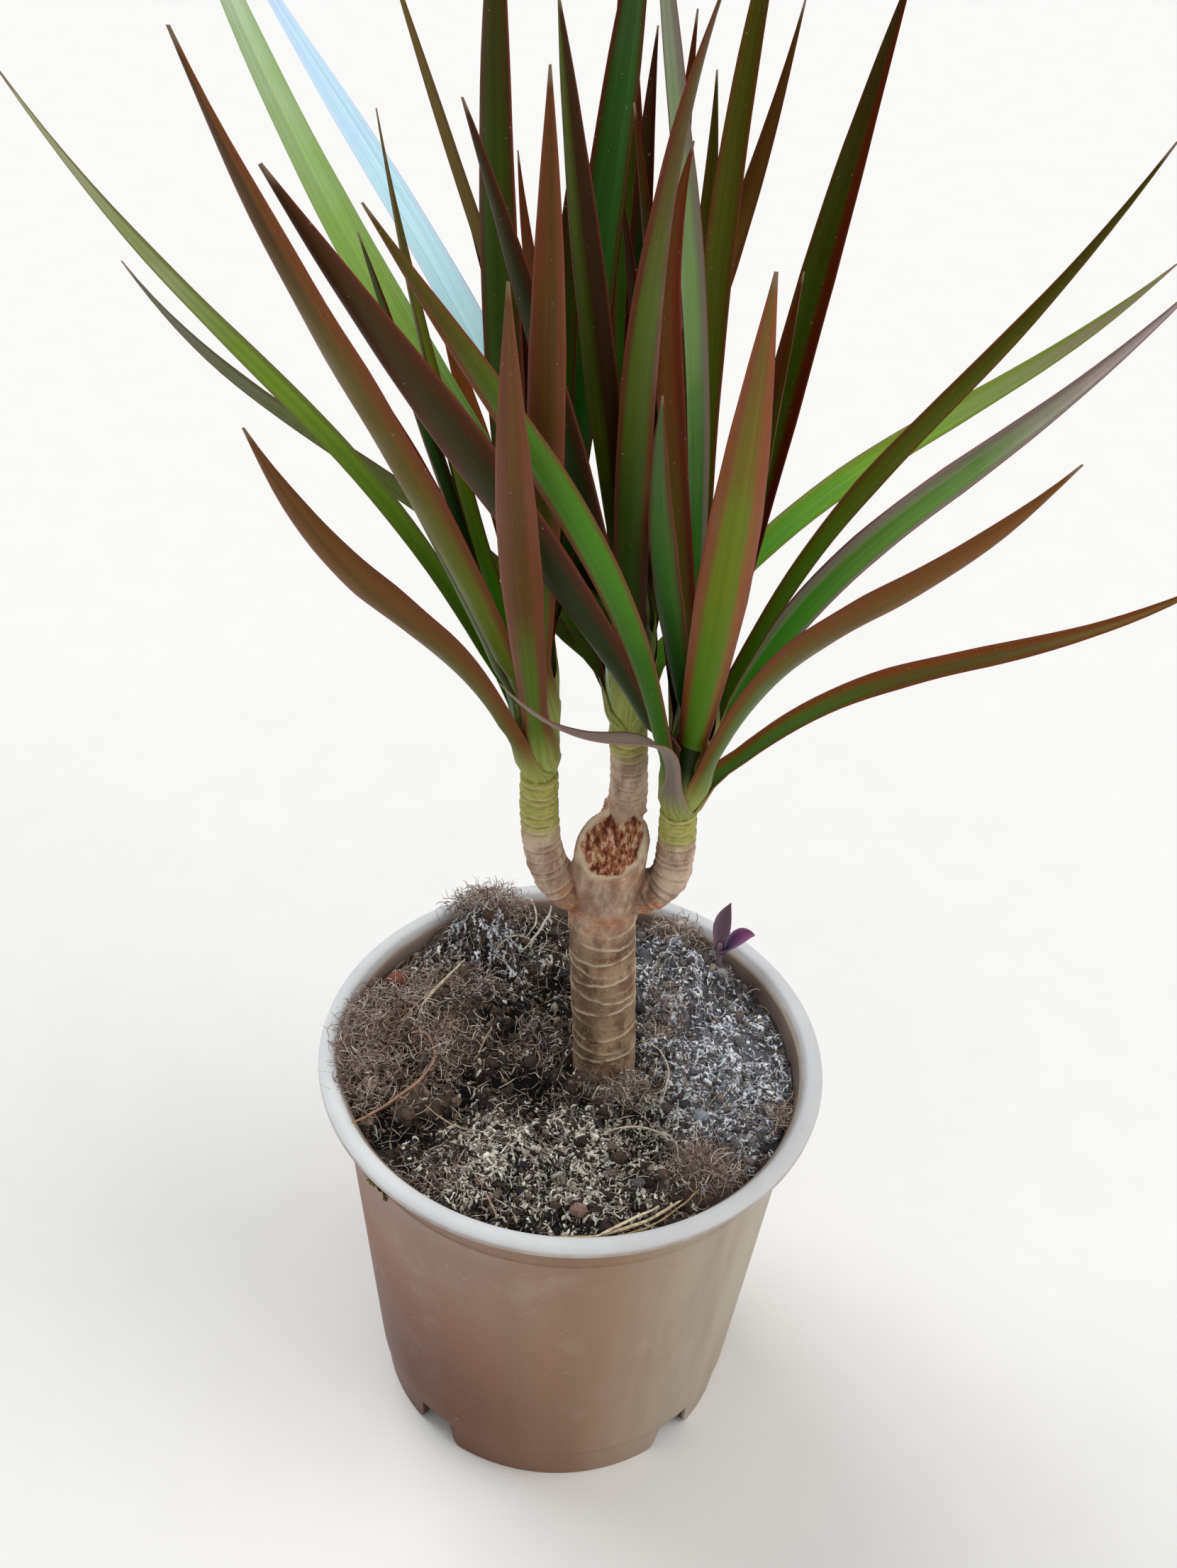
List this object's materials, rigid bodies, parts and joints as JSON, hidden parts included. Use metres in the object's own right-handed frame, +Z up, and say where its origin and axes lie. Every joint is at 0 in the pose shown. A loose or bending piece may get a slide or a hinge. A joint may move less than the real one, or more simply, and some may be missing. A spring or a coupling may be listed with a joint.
{
  "type": "potted dracaena marginata",
  "caption": "House plant in a nursery pot: a ringed cane with branches that carry crowns of long narrow red-edged leaves.",
  "frame": {"origin": "on the pot's axis, on the surface that the pot stands on", "axes": "+Z up along the pot's axis; -Y is the plant's front, which the picture shows; +X is to the right"},
  "size_m": [0.3663, 0.2376, 0.557],
  "materials": {
    "pot": "satin moulded polypropylene, warm grey-brown with a paler rim",
    "soil": "dark crumbly peat with pale crust and fibres",
    "bark": "dull ringed bark with pale leaf scars",
    "leaf": "smooth satin leaf, green in the middle with burgundy edges",
    "seedling": "soft matt purple leaf"
  },
  "bodies": {
    "root": {"pot": "pot", "soil": "soil", "trunk": "bark", "crown_left": "leaf", "crown_middle": "leaf", "crown_right": "leaf", "seedling": "seedling"}
  },
  "joints": []
}
